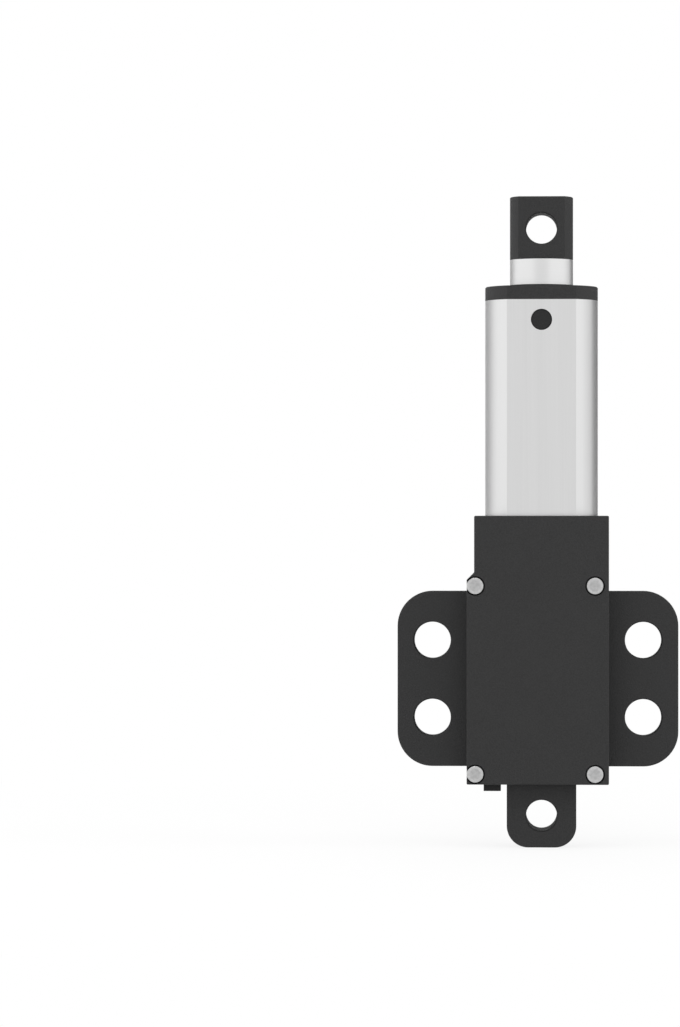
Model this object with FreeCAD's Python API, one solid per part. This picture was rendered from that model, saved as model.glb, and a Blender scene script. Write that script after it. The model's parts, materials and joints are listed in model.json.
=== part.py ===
import FreeCAD
import Part
import math
import os

# Electric linear actuator, millimetres, rod drawn in.
# The origin is the middle of the tail eye's hole, Z runs along the rod and the front looks to -Y.

V = FreeCAD.Vector

# Rod and its end
STROKE = 20.0
EYE_HOLE_D = 4.1
EYE_FROM_TOP = 4.25
ROD_D = 8.4
ROD_WALL = 1.0
ROD_REVEAL = 3.63
ROD_END_LENGTH = 8.35
ROD_END_FLATS = 5.7
ROD_END_SPIGOT = 4.0

# Tube and end cap
TUBE_WALL = 1.0
GUIDE_WALL = 0.75
SIDE_ROOM = 2.3
TUBE_SEATING = 5.75
SPIGOT_LENGTH = 9.16
CAP_THICKNESS = 1.83
CAP_EDGE = 0.12
CAP_PIN_D = 2.8
CAP_PIN_BELOW_CAP = 2.68
CAP_PIN_SUNK = 0.12
CAP_PIN_EDGE = 0.1
WIPER_WIDTH = 1.0
WIPER_LIP = 0.25
WIPER_LIP_FOOT = 0.3
WIPER_LIP_TIP = 0.12

# Housing
EYE_TO_HOUSING = 4.29
FLOOR_WALL = 1.5
SIDE_WALL = 1.38
FRONT_WALL = 1.25
STEP_ABOVE_SCREW = 1.8
COVER_SPLIT = 1.0
EDGE_ROUND = 0.15
CORNER_ROUND = 0.18
HOLE_RIM = 0.15
SEAM = 0.1
PEG_D = 2.4

# Mounting wings
WING_REACH = 9.3
WING_FROM_ROWS = 0.75
WING_THICKNESS = 2.0
WING_CORNER = 4.65
WING_HOLE_D = 4.85
WING_HOLE_INSET = 4.665
WING_HOLES_UP = 10.27

# Housing screws
SCREW_HEAD_D = 2.24
SCREW_HEAD_HEIGHT = 1.0
SCREW_HEAD_EDGE = 0.12
SCREW_HEAD_ROOM = 0.17
SCREW_SHANK_D = 1.4
SCREW_SUNK = 0.12
SCREW_TIP_TO_BACK = 2.5
SCREW_TIP_ROOM = 0.3
SCREW_WALL = 0.31
SCREW_EDGE = 1.82
SCREW_ROW = 1.35
SCREW_BELOW_BLOCK = 0.81

# Tail eye
LUG_WIDTH = 9.22
LUG_DEPTH = 6.6
LUG_BELOW_HOLE = 4.26
LUG_CORNER = 2.85
TAIL_FLANGE = 1.2
TAIL_SHOULDER = 0.6

# Lead grommet and leads
GROMMET_WIDTH = 2.27
GROMMET_DEPTH = 3.6
GROMMET_FROM_LUG = 0.8
GROMMET_TO_SCREW = 0.37
GROMMET_DROP = 1.1
GROMMET_LIP = 0.45
GROMMET_LIP_HEIGHT = 0.6
LEAD_D = 0.7
LEAD_BEND = 0.6
LEAD_RECESS = 0.3
LEAD_TURN_IN = 1.6
LEAD_TOP = 1.1

# Motor
MOTOR_WIDTH = 12.0
MOTOR_FLATS = 10.0
MOTOR_LENGTH = 15.0
CAN_WALL = 0.4
MAGNET_THICKNESS = 1.3
MAGNET_WIDTH = 6.9
MAGNET_GAP = 0.4
MAGNET_OVERHANG = 1.5
END_CAP_DEPTH = 1.6
BOSS_D = 4.4
BOSS_HEIGHT = 0.9
BUSH_D = 2.0
BUSH_ROOM = 0.2
REAR_BUSH = 2.1
NOSE_BUSH = 1.2
SHAFT_D = 0.8
SHAFT_INSET = 0.2
TERMINAL_ROOM = 1.3
TERMINAL_FROM_BOSS = 1.0
TERMINAL_THICKNESS = 0.3
TERMINAL_WIDTH = 1.2
TERMINAL_DROP = 0.5
COMMUTATOR_D = 2.8
COMMUTATOR_LENGTH = 2.3
COMMUTATOR_GAP = 0.3
LEAF_THICKNESS = 0.2
LEAF_WIDTH = 1.0
LEAF_BELOW_TOP = 0.6
COIL_GAP = 0.1
COIL_OVERHANG = 0.7
COIL_SUNK = 0.3
CORE_FROM_TOP = 3.0
SLOT_WIDTH = 1.2
SLOT_FLOOR = 1.5
POLES = 3

# Gearbox
PLATE = 0.85
PLATE_CORNER = 1.5
MODULE = 0.2
PINION_TEETH = 8
GEAR_TEETH = 22
PROFILE_SHIFT = 0.4
ADDENDUM = 1.0
DEDENDUM = 1.25
PRESSURE_ANGLE = math.radians(20.0)
BACKLASH = 0.02
FACE_WIDTH = 1.2
FACE_GAP = 0.3
ARBOR_D = 0.6
POST_D = 1.0
POST_ROOM = 0.3
POST_FROM_SIDE = 1.32
POST_FROM_FRONT = 1.9
OUTPUT_BUSH_WALL = 0.6
OUTPUT_BUSH_LIP = 0.4
OUTPUT_BUSH_RIM = 0.15

# Screw drive and bearing
LEAD_SCREW_D = 4.0
LEAD_SCREW_PAST_NUT = 0.5
JOURNAL_D = 3.0
NOSE_D = 2.4
BEARING_D = 7.0
BEARING_WIDTH = 2.0
BEARING_LAND = 0.35
BALL_D = 1.0
BALLS = 7
CAGE_THICKNESS = 0.38
CAGE_WIDTH = 1.6
BLOCK_LIP = 0.7
CLIP_THICKNESS = 0.4
CLIP_WIDTH = 0.8
CLIP_GROOVE = 0.2
CLIP_MOUTH = 1.8
CLIP_ROOM = 0.3
NUT_HEIGHT = 3.5
NUT_SPIGOT = 3.0
NUT_LIFT = 0.7
END_ROOM = 1.0

# Limit board and its brush
BOARD = 0.6
BOARD_FROM_WALL = 0.65
BOARD_TO_BLOCK = 0.45
TRACK = 0.05
TRACK_WIDTH = 0.9
TRACK_MARGIN = 0.4
BRUSH_ROOM = 0.5
BRUSH_SHEET = 0.12
BRUSH_MARGIN = 0.3
BRUSH_FOOT = 0.5
BRUSH_CROWN = 0.6

# Fits on the radius or on one side, and how far a cutting shape runs past a face
RUNNING = 0.05
GLIDE = 0.03
SEAT = 0.02
PAST = 1.0

# Rod, tube and motor, as radii and half widths
hole_r = EYE_HOLE_D / 2
rod_r = ROD_D / 2
rod_bore_r = rod_r - ROD_WALL
bore_r = rod_r + SIDE_ROOM
bore_flat = rod_r + GUIDE_WALL
tube_r = bore_r + TUBE_WALL
tube_flat = bore_flat + TUBE_WALL
can_r = MOTOR_WIDTH / 2
can_flat = MOTOR_FLATS / 2
can_bore_r = can_r - CAN_WALL
can_bore_flat = can_flat - CAN_WALL
magnet_bore_r = min(can_bore_r - MAGNET_THICKNESS, can_bore_flat)
armature_r = magnet_bore_r - MAGNET_GAP
shaft_r = SHAFT_D / 2
bush_r = BUSH_D / 2
journal_r = JOURNAL_D / 2
lead_r = LEAD_D / 2
terminal_x = BOSS_D / 2 + TERMINAL_FROM_BOSS

# The idler arbors stand with the rod axis on a triangle of equal sides, and a post clears both wheels
centre_distance = MODULE * (PINION_TEETH + GEAR_TEETH) / 2
arbor_x = centre_distance * math.cos(math.radians(30))
arbor_y = centre_distance / 2
arbor_r = ARBOR_D / 2
wheel_tip_r = MODULE * (GEAR_TEETH / 2 + ADDENDUM - PROFILE_SHIFT)
post_r = POST_D / 2
post_x = arbor_x + math.sqrt((wheel_tip_r + POST_ROOM + post_r) ** 2 - arbor_y ** 2)

# Limit board on the tube's right side
board_out = bore_r - BOARD_FROM_WALL
board_in = board_out - BOARD
board_half = math.sqrt(bore_r ** 2 - board_out ** 2) - RUNNING
brush_seat = board_in - TRACK - BRUSH_ROOM

# The inner case is as wide as the widest of the motor, the gearbox and the board
case_x = max(can_r, post_x + post_r, board_out)
case_y = can_flat
cavity_x = case_x + RUNNING
cavity_y = case_y + RUNNING
lead_x = cavity_x - lead_r - RUNNING
lead_y = cavity_y - lead_r - RUNNING

# Levels along Z, from the tail up
z_bottom = EYE_TO_HOUSING
z_floor = z_bottom + FLOOR_WALL
z_flange = z_floor + TAIL_FLANGE
z_lead = z_flange + TERMINAL_ROOM / 2
z_can = z_flange + TERMINAL_ROOM
z_can_top = z_can + MOTOR_LENGTH
z_boss = z_can - BOSS_HEIGHT
z_plug = z_can + END_CAP_DEPTH
z_commutator = z_plug + COMMUTATOR_GAP
z_commutator_top = z_commutator + COMMUTATOR_LENGTH
z_coils = z_commutator_top + COIL_GAP
z_core = z_coils + COIL_OVERHANG
z_core_top = z_can_top - CORE_FROM_TOP
z_gears = z_can_top + PLATE
z_roof = z_gears + 4 * FACE_WIDTH + 5 * FACE_GAP
z_block = z_roof + PLATE
z_bearing = z_block + BLOCK_LIP
z_tube = z_bearing + BEARING_WIDTH
z_top = z_tube + TUBE_SEATING
z_peg = z_tube + TUBE_SEATING / 2
z_nut = z_tube + NUT_LIFT
z_nut_top = z_nut + NUT_HEIGHT
z_nut_spigot = z_nut_top + NUT_SPIGOT
z_spigot = z_nut_top + STROKE + END_ROOM
z_screw_end = z_nut_spigot + STROKE + LEAD_SCREW_PAST_NUT
z_tube_top = z_spigot + SPIGOT_LENGTH
z_pin = z_tube_top - CAP_PIN_BELOW_CAP
z_cap = z_tube_top + CAP_THICKNESS
z_rod_top = z_cap + ROD_REVEAL
z_rod_end_top = z_rod_top + ROD_END_LENGTH
z_rod_eye = z_rod_end_top - EYE_FROM_TOP

# Housing sides: the grommet beside the lug pushes the left screws and the lower left side out
grommet_x = -LUG_WIDTH / 2 - GROMMET_FROM_LUG - GROMMET_WIDTH / 2
grommet_holes = [-COVER_SPLIT - GROMMET_DEPTH / 4, -COVER_SPLIT + GROMMET_DEPTH / 4]
screw_left = grommet_x - GROMMET_WIDTH / 2 - GROMMET_TO_SCREW - SCREW_SHANK_D / 2
screw_right = cavity_x + SCREW_WALL + SCREW_SHANK_D / 2
left = screw_left - SCREW_HEAD_D / 2
upper_left = -tube_r - SIDE_WALL
right = max(tube_r + SIDE_WALL, screw_right + SCREW_EDGE)
back = max(tube_flat, cavity_y) + FRONT_WALL
front = -back
split = -COVER_SPLIT
row_low = z_bottom + SCREW_ROW
row_high = z_block - SCREW_BELOW_BLOCK
screw_places = [(x, z) for z in (row_low, row_high) for x in (screw_left, screw_right)]
screw_tip = back - SCREW_TIP_TO_BACK
head_top = front + SCREW_SUNK
head_seat = head_top + SCREW_HEAD_HEIGHT
pin_top = -tube_flat + CAP_PIN_SUNK
pin_foot = -rod_r - 2 * RUNNING


def post(radius, z0, z1, x=0.0, y=0.0):
    return Part.makeCylinder(radius, z1 - z0, V(x, y, z0))


def hole(radius, z0, z1, x=0.0, y=0.0):
    """A round cutting shape that runs past both levels."""
    return post(radius, z0 - PAST, z1 + PAST, x, y)


def pin_y(radius, y0, y1, x, z):
    return Part.makeCylinder(radius, y1 - y0, V(x, y0, z), V(0, 1, 0))


def rim_cut(radius, y, way, x, z):
    """A cone that breaks the rim of a hole along Y; way is 1 where the part lies towards +Y, else -1."""
    wide = HOLE_RIM + PAST
    return Part.makeCone(radius + wide, radius, wide, V(x, y - way * PAST, z), V(0, way, 0))


def box(half_x, half_y, z0, z1, x=0.0, y=0.0):
    return Part.makeBox(2 * half_x, 2 * half_y, z1 - z0, V(x - half_x, y - half_y, z0))


def block(x0, x1, y0, y1, z0, z1):
    return Part.makeBox(x1 - x0, y1 - y0, z1 - z0, V(x0, y0, z0))


def ring(outer, inner, z0, z1):
    return post(outer, z0, z1).cut(hole(inner, z0, z1))


def flatted(radius, half_flat, z0, z1):
    """A round bar with a flat front and back."""
    half = math.sqrt(radius ** 2 - half_flat ** 2)
    a = V(half, -half_flat, z0)
    b = V(half, half_flat, z0)
    c = V(-half, half_flat, z0)
    d = V(-half, -half_flat, z0)
    right_side = Part.Arc(a, V(radius, 0, z0), b).toShape()
    left_side = Part.Arc(c, V(-radius, 0, z0), d).toShape()
    wire = Part.Wire([right_side, Part.makeLine(b, c), left_side, Part.makeLine(d, a)])
    return Part.Face(wire).extrude(V(0, 0, z1 - z0))


def prism_y(points, y0, y1):
    """A flat outline in X and Z, drawn out along Y."""
    corners = [V(x, y0, z) for x, z in points]
    wire = Part.makePolygon(corners + corners[:1])
    return Part.Face(wire).extrude(V(0, y1 - y0, 0))


def edges_on(shape, axis, level):
    found = []
    for edge in shape.Edges:
        spots = [getattr(vertex.Point, axis) for vertex in edge.Vertexes]
        if all(abs(spot - level) < 1e-6 for spot in spots):
            found.append(edge)
    return found


def edges_along(shape, axis):
    found = []
    for edge in shape.Edges:
        if len(edge.Vertexes) == 2:
            run = edge.Vertexes[1].Point - edge.Vertexes[0].Point
            if abs(abs(getattr(run, axis)) - run.Length) < 1e-6:
                found.append(edge)
    return found


def lead(points):
    """A round lead along straight runs with bends between them."""
    spots = [V(*point) for point in points]
    edges = []
    start = spots[0]
    for here, after in zip(spots[1:-1], spots[2:]):
        inward = (start - here).normalize()
        onward = (after - here).normalize()
        enter = here + inward * LEAD_BEND
        leave = here + onward * LEAD_BEND
        middle = here + (inward + onward) * LEAD_BEND * (1 - math.sqrt(0.5))
        edges.append(Part.makeLine(start, enter))
        edges.append(Part.Arc(enter, middle, leave).toShape())
        start = leave
    edges.append(Part.makeLine(start, spots[-1]))
    path = Part.Wire(edges)
    run = spots[1] - spots[0]
    section = Part.Wire([Part.makeCircle(lead_r, spots[0], run)])
    return path.makePipeShell([section], True, True)


def involute(angle):
    return math.tan(angle) - angle


def gear(teeth, shift, phase, x, y, z0, z1):
    """A spur gear with a tooth's middle at the phase angle."""
    pitch_r = MODULE * teeth / 2
    base_r = pitch_r * math.cos(PRESSURE_ANGLE)
    tip_r = pitch_r + MODULE * (ADDENDUM + shift)
    root_r = pitch_r - MODULE * (DEDENDUM - shift)
    half = (math.pi / 2 + 2 * shift * math.tan(PRESSURE_ANGLE)) / teeth
    half = half - BACKLASH / (2 * pitch_r) + involute(PRESSURE_ANGLE)

    def spot(radius, side, tooth):
        swing = half
        if radius > base_r:
            swing = half - involute(math.acos(base_r / radius))
        angle = phase + tooth * 2 * math.pi / teeth + side * swing
        return V(x + radius * math.cos(angle), y + radius * math.sin(angle), z0)

    middle_r = (max(base_r, root_r) + tip_r) / 2
    edges = []
    for tooth in range(teeth):
        rise = [spot(radius, -1, tooth) for radius in (root_r, middle_r, tip_r)]
        fall = [spot(radius, 1, tooth) for radius in (tip_r, middle_r, root_r)]
        edges.append(Part.Arc(*rise).toShape())
        edges.append(Part.makeLine(rise[2], fall[0]))
        edges.append(Part.Arc(*fall).toShape())
        edges.append(Part.makeLine(fall[2], spot(root_r, -1, tooth + 1)))
    return Part.Face(Part.Wire(edges)).extrude(V(0, 0, z1 - z0))


def face_level(stage):
    return z_gears + FACE_GAP + stage * (FACE_WIDTH + FACE_GAP)


def wheel(phase, x, y, stage):
    z0 = face_level(stage)
    return gear(GEAR_TEETH, -PROFILE_SHIFT, phase, x, y, z0, z0 + FACE_WIDTH)


def compound(x, y, stage, wheel_phase, pinion_phase):
    """A wheel with the next stage's pinion on top, free on its arbor."""
    low = face_level(stage)
    high = face_level(stage + 1) + FACE_WIDTH
    pinion = gear(PINION_TEETH, PROFILE_SHIFT, pinion_phase, x, y, low + FACE_WIDTH, high)
    both = wheel(wheel_phase, x, y, stage).fuse(pinion)
    return both.cut(hole(arbor_r + GLIDE, low, high, x, y)).removeSplitter()


def make_hollow():
    """All that the two shells leave open for the pieces inside."""
    room = flatted(tube_r + SEAT, tube_flat + SEAT, z_tube, z_top + PAST)
    room = room.fuse(box(cavity_x, cavity_y, z_floor, z_tube))
    lug_x = LUG_WIDTH / 2 + SEAT
    lug_y = LUG_DEPTH / 2 + SEAT
    room = room.fuse(box(lug_x, lug_y, z_bottom - PAST, z_floor))
    room = room.fuse(box(lug_x + TAIL_SHOULDER, lug_y + TAIL_SHOULDER, z_floor, z_flange))
    slot_x = GROMMET_WIDTH / 2 + SEAT
    slot_y = GROMMET_DEPTH / 2 + SEAT
    pocket_y = GROMMET_DEPTH / 2 + GROMMET_LIP + RUNNING
    pocket_top = z_lead + LEAD_BEND + lead_r
    room = room.fuse(box(slot_x, slot_y, z_bottom - PAST, z_floor, grommet_x, split))
    return room.fuse(box(slot_x, pocket_y, z_floor, pocket_top, grommet_x, split))


def make_wings():
    low = row_low + WING_FROM_ROWS
    high = row_high - WING_FROM_ROWS
    x0 = left - WING_REACH
    x1 = right + WING_REACH
    wings = block(x0, x1, split, split + WING_THICKNESS, low, high)
    wings = wings.makeFillet(WING_CORNER, edges_along(wings, "y"))
    rims = edges_on(wings, "y", split) + edges_on(wings, "y", split + WING_THICKNESS)
    wings = wings.makeFillet(EDGE_ROUND, rims)
    for x in (x0 + WING_HOLE_INSET, x1 - WING_HOLE_INSET):
        for z in ((low + high - WING_HOLES_UP) / 2, (low + high + WING_HOLES_UP) / 2):
            wings = wings.cut(pin_y(WING_HOLE_D / 2, front, back, x, z))
            wings = wings.cut(rim_cut(WING_HOLE_D / 2, split, 1, x, z))
    return wings


def make_shell(y0, y1, outside):
    """The housing's outline between two depths, rounded outside and with a fine seam at the split."""
    step_high = row_high + STEP_ABOVE_SCREW
    step_low = step_high - abs(upper_left - left)
    outline = [
        (upper_left, z_top),
        (right, z_top),
        (right, z_bottom),
        (left, z_bottom),
        (left, step_low),
        (upper_left, step_high),
    ]
    shell = prism_y(outline, y0, y1)
    shell = shell.makeFillet(CORNER_ROUND, edges_along(shell, "y"))
    shell = shell.makeFillet(EDGE_ROUND, edges_on(shell, "y", outside))
    return shell.makeChamfer(SEAM, edges_on(shell, "y", split))


def make_housing():
    """The front cover and the rear half with the wings, a peg in each to lock the tube by its flats."""
    hollow = make_hollow()
    cover = make_shell(front, split, front).cut(hollow)
    rear = make_shell(split, back, back).fuse(make_wings()).cut(hollow)
    for x, z in screw_places:
        cover = cover.cut(pin_y(SCREW_HEAD_D / 2 + SCREW_HEAD_ROOM, front - PAST, head_seat, x, z))
        cover = cover.cut(pin_y(SCREW_SHANK_D / 2 + RUNNING, front, split + PAST, x, z))
        rear = rear.cut(pin_y(SCREW_SHANK_D / 2 + SEAT, split - PAST, screw_tip + SCREW_TIP_ROOM, x, z))
    peg_tip = bore_flat + SEAT
    peg_root = back - FRONT_WALL / 2
    cover = cover.fuse(pin_y(PEG_D / 2, -peg_root, -peg_tip, 0, z_peg))
    rear = rear.fuse(pin_y(PEG_D / 2, peg_tip, peg_root, 0, z_peg))
    return cover.removeSplitter(), rear.removeSplitter()


def make_housing_screws():
    screws = []
    for x, z in screw_places:
        head = pin_y(SCREW_HEAD_D / 2, head_top, head_seat, x, z)
        head = head.makeChamfer(SCREW_HEAD_EDGE, edges_on(head, "y", head_top))
        shank = pin_y(SCREW_SHANK_D / 2, head_seat, screw_tip, x, z)
        screws.append(head.fuse(shank).removeSplitter())
    return Part.makeCompound(screws)


def make_tail_eye():
    low = -LUG_BELOW_HOLE
    lug = box(LUG_WIDTH / 2, LUG_DEPTH / 2, low, z_floor)
    corners = []
    for edge in edges_along(lug, "y"):
        if abs(edge.Vertexes[0].Z - low) < 1e-6:
            corners.append(edge)
    lug = lug.makeFillet(LUG_CORNER, corners)
    rims = []
    for edge in edges_on(lug, "y", -LUG_DEPTH / 2) + edges_on(lug, "y", LUG_DEPTH / 2):
        if min(vertex.Z for vertex in edge.Vertexes) < z_floor - EDGE_ROUND:
            rims.append(edge)
    lug = lug.makeFillet(EDGE_ROUND, rims)
    for way in (1, -1):
        lug = lug.cut(rim_cut(hole_r, -way * LUG_DEPTH / 2, way, 0, 0))
    foot = box(LUG_WIDTH / 2 + TAIL_SHOULDER, LUG_DEPTH / 2 + TAIL_SHOULDER, z_floor, z_flange)
    tail = lug.fuse(foot).removeSplitter()
    return tail.cut(pin_y(hole_r, -LUG_DEPTH, LUG_DEPTH, 0, 0))


def make_grommet():
    low = z_bottom - GROMMET_DROP
    high = z_floor + GROMMET_LIP_HEIGHT
    neck = box(GROMMET_WIDTH / 2, GROMMET_DEPTH / 2, low, z_floor, grommet_x, split)
    neck = neck.makeFillet(EDGE_ROUND, edges_along(neck, "z"))
    lip = box(GROMMET_WIDTH / 2, GROMMET_DEPTH / 2 + GROMMET_LIP, z_floor, high, grommet_x, split)
    bush = neck.fuse(lip).removeSplitter()
    for y in grommet_holes:
        bush = bush.cut(hole(lead_r + SEAT, low, high, grommet_x, y))
    return bush


def make_supply_leads():
    start = z_bottom - GROMMET_DROP + LEAD_RECESS
    turn = grommet_x + LEAD_TURN_IN
    near, far = grommet_holes
    short = lead([
        (grommet_x, far, start),
        (grommet_x, far, z_lead),
        (-terminal_x - TERMINAL_THICKNESS / 2 - SEAT, far, z_lead),
    ])
    long = lead([
        (grommet_x, near, start),
        (grommet_x, near, z_lead),
        (turn, near, z_lead),
        (turn, -lead_y, z_lead),
        (lead_x, -lead_y, z_lead),
        (lead_x, -lead_y, z_block + LEAD_TOP),
        (lead_x, -board_half - SEAT, z_block + LEAD_TOP),
    ])
    return Part.makeCompound([short, long])


def make_link_lead():
    return lead([
        (terminal_x + TERMINAL_THICKNESS / 2 + SEAT, 0, z_lead),
        (lead_x, 0, z_lead),
        (lead_x, lead_y, z_lead),
        (lead_x, lead_y, z_block + LEAD_TOP),
        (lead_x, board_half + SEAT, z_block + LEAD_TOP),
    ])


def make_tube():
    tube = flatted(tube_r, tube_flat, z_tube, z_tube_top)
    tube = tube.cut(flatted(bore_r, bore_flat, z_tube - PAST, z_tube_top + PAST))
    tube = tube.cut(pin_y(CAP_PIN_D / 2, -tube_r, 0, 0, z_pin))
    return tube.cut(pin_y(PEG_D / 2 + SEAT, -tube_r, tube_r, 0, z_peg))


def make_end_cap():
    cap = flatted(tube_r, tube_flat, z_tube_top, z_cap)
    cap = cap.makeChamfer(CAP_EDGE, edges_on(cap, "z", z_cap))
    cap = cap.fuse(flatted(bore_r - SEAT, bore_flat - SEAT, z_spigot, z_tube_top)).removeSplitter()
    cap = cap.cut(hole(rod_r + RUNNING, z_spigot, z_cap))
    cap = cap.cut(post(rod_r + WIPER_WIDTH, z_cap - WIPER_WIDTH, z_cap + PAST))
    return cap.cut(pin_y(CAP_PIN_D / 2, -tube_r, pin_foot, 0, z_pin))


def make_cap_pin():
    pin = pin_y(CAP_PIN_D / 2 - SEAT, pin_top, pin_foot, 0, z_pin)
    return pin.makeChamfer(CAP_PIN_EDGE, edges_on(pin, "y", pin_top))


def make_rod_wiper():
    low = z_cap - WIPER_WIDTH
    lip = Part.makeCone(rod_r + WIPER_LIP_FOOT, rod_r + WIPER_LIP_TIP, WIPER_LIP, V(0, 0, z_cap))
    seal = post(rod_r + WIPER_WIDTH, low, z_cap).fuse(lip)
    return seal.cut(hole(rod_r + GLIDE, low, z_cap))


def make_rod():
    return ring(rod_r, rod_bore_r, z_nut_top, z_rod_top)


def make_rod_end():
    eye = flatted(rod_r, ROD_END_FLATS / 2, z_rod_top, z_rod_end_top)
    eye = eye.makeFillet(EDGE_ROUND, edges_on(eye, "z", z_rod_end_top))
    for way in (1, -1):
        eye = eye.cut(rim_cut(hole_r, -way * ROD_END_FLATS / 2, way, 0, z_rod_eye))
    eye = eye.fuse(post(rod_bore_r, z_rod_top - ROD_END_SPIGOT, z_rod_top))
    return eye.cut(pin_y(hole_r, -rod_r, rod_r, 0, z_rod_eye))


def make_nut():
    body = flatted(bore_r - 2 * RUNNING, bore_flat - 2 * RUNNING, z_nut, z_nut_top)
    body = body.cut(block(brush_seat, tube_r, -tube_r, tube_r, z_nut - PAST, z_nut_top + PAST))
    nut = body.fuse(post(rod_bore_r, z_nut_top, z_nut_spigot))
    return nut.cut(hole(LEAD_SCREW_D / 2 + RUNNING, z_nut, z_nut_spigot))


def make_wiper_brush():
    """A bowed brass strip on the nut's side that rides on the board's tracks."""
    crown = board_in - TRACK - RUNNING
    low = z_nut + BRUSH_MARGIN
    high = z_nut_top - BRUSH_MARGIN
    middle = (low + high) / 2
    outer_crown = BRUSH_CROWN / 2
    inner_crown = outer_crown - BRUSH_SHEET
    outline = [
        (brush_seat, low),
        (brush_seat + BRUSH_SHEET, low),
        (brush_seat + BRUSH_SHEET, low + BRUSH_FOOT),
        (crown, middle - outer_crown),
        (crown, middle + outer_crown),
        (brush_seat + BRUSH_SHEET, high - BRUSH_FOOT),
        (brush_seat + BRUSH_SHEET, high),
        (brush_seat, high),
        (brush_seat, high - BRUSH_FOOT - BRUSH_SHEET),
        (crown - BRUSH_SHEET, middle + inner_crown),
        (crown - BRUSH_SHEET, middle - inner_crown),
        (brush_seat, low + BRUSH_FOOT + BRUSH_SHEET),
    ]
    return prism_y(outline, -TRACK_WIDTH * 1.5, TRACK_WIDTH * 1.5)


def make_limit_board():
    return block(board_in, board_out, -board_half, board_half, z_block + SEAT, z_spigot - SEAT)


def make_limit_tracks():
    tracks = []
    low = z_tube + TRACK_MARGIN
    high = z_spigot - TRACK_MARGIN
    for y in (-TRACK_WIDTH, TRACK_WIDTH):
        tracks.append(box(TRACK / 2, TRACK_WIDTH / 2, low, high, board_in - TRACK / 2, y))
    return Part.makeCompound(tracks)


def make_motor_can():
    can = flatted(can_r, can_flat, z_can, z_can_top)
    can = can.cut(flatted(can_bore_r, can_bore_flat, z_can - PAST, z_can_top - CAN_WALL))
    return can.cut(post(bush_r, z_can, z_can_top + PAST))


def make_motor_end_cap():
    plug = flatted(can_bore_r - SEAT, can_bore_flat - SEAT, z_can, z_plug)
    cap = plug.fuse(post(BOSS_D / 2, z_boss, z_can)).removeSplitter()
    cap = cap.cut(hole(bush_r, z_boss, z_plug))
    for x in (-terminal_x, terminal_x):
        slot = box(TERMINAL_THICKNESS / 2, TERMINAL_WIDTH / 2, z_can - PAST, z_plug + PAST, x)
        cap = cap.cut(slot)
    return cap


def make_terminals():
    tabs = []
    for x in (-terminal_x, terminal_x):
        tabs.append(box(TERMINAL_THICKNESS / 2, TERMINAL_WIDTH / 2, z_lead - TERMINAL_DROP, z_plug, x))
    return Part.makeCompound(tabs)


def make_brushes():
    """Two leaf springs that stand on the end cap beside the commutator."""
    high = z_commutator_top - LEAF_BELOW_TOP
    reach = COMMUTATOR_D / 2 + RUNNING + LEAF_THICKNESS / 2
    leaves = []
    for y in (-reach, reach):
        leaves.append(box(LEAF_WIDTH / 2, LEAF_THICKNESS / 2, z_plug, high, 0, y))
    return Part.makeCompound(leaves)


def make_motor_bushes():
    rear = ring(bush_r, shaft_r + SEAT, z_boss, z_boss + REAR_BUSH)
    nose = ring(bush_r, shaft_r + SEAT, z_can_top - NOSE_BUSH, z_can_top)
    return Part.makeCompound([rear, nose])


def make_magnets():
    low = z_core - MAGNET_OVERHANG
    high = z_core_top + MAGNET_OVERHANG
    sleeve = ring(can_bore_r, magnet_bore_r, low, high)
    magnets = []
    for x in (-can_r, can_r):
        magnets.append(sleeve.common(box(can_r, MAGNET_WIDTH / 2, low, high, x)))
    return Part.makeCompound(magnets)


def plate_blank(z0):
    plate = box(case_x, case_y, z0, z0 + PLATE)
    plate = plate.makeChamfer(PLATE_CORNER, edges_along(plate, "z"))
    for y in (-arbor_y, arbor_y):
        plate = plate.cut(hole(arbor_r, z0, z0 + PLATE, arbor_x, y))
    return plate


def make_motor_plate():
    return plate_blank(z_can_top).cut(hole(bush_r + BUSH_ROOM, z_can_top, z_gears))


def make_output_plate():
    return plate_blank(z_roof).cut(hole(journal_r + OUTPUT_BUSH_WALL, z_roof, z_block))


def make_output_bush():
    sleeve_r = journal_r + OUTPUT_BUSH_WALL
    bush = post(sleeve_r, z_roof, z_block)
    bush = bush.fuse(post(sleeve_r + OUTPUT_BUSH_LIP, z_roof - OUTPUT_BUSH_RIM, z_roof))
    return bush.removeSplitter().cut(hole(journal_r + GLIDE, z_roof, z_block))


def make_gear_posts():
    side = -case_x + POST_FROM_SIDE
    reach = case_y - POST_FROM_FRONT
    places = [(side, -reach), (side, reach), (post_x, 0.0)]
    return Part.makeCompound([post(post_r, z_gears, z_roof, x, y) for x, y in places])


def make_arbors():
    pins = []
    for y in (-arbor_y, arbor_y):
        pins.append(post(arbor_r, z_can_top, z_block, arbor_x, y))
    return Part.makeCompound(pins)


def make_rotor_shaft():
    return post(shaft_r, z_boss + SHAFT_INSET, face_level(0) + FACE_WIDTH)


def around_poles(slice_shape):
    """One copy of a slot or coil at each gap between the armature's poles."""
    copies = []
    for pole in range(POLES):
        turned = slice_shape.copy()
        turned.rotate(V(0, 0, 0), V(0, 0, 1), 360.0 * pole / POLES)
        copies.append(turned)
    return copies


def make_core():
    core = ring(armature_r, shaft_r, z_core, z_core_top)
    half = SLOT_WIDTH / 2
    slot = block(SLOT_FLOOR, armature_r + PAST, -half, half, z_core - PAST, z_core_top + PAST)
    for cutter in around_poles(slot):
        core = core.cut(cutter)
    return core


def make_windings():
    half = SLOT_WIDTH / 2
    coil = block(SLOT_FLOOR, armature_r - COIL_SUNK, -half, half, z_coils, z_core_top + COIL_OVERHANG)
    return Part.makeCompound(around_poles(coil))


def make_commutator():
    return ring(COMMUTATOR_D / 2, shaft_r, z_commutator, z_commutator_top)


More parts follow.
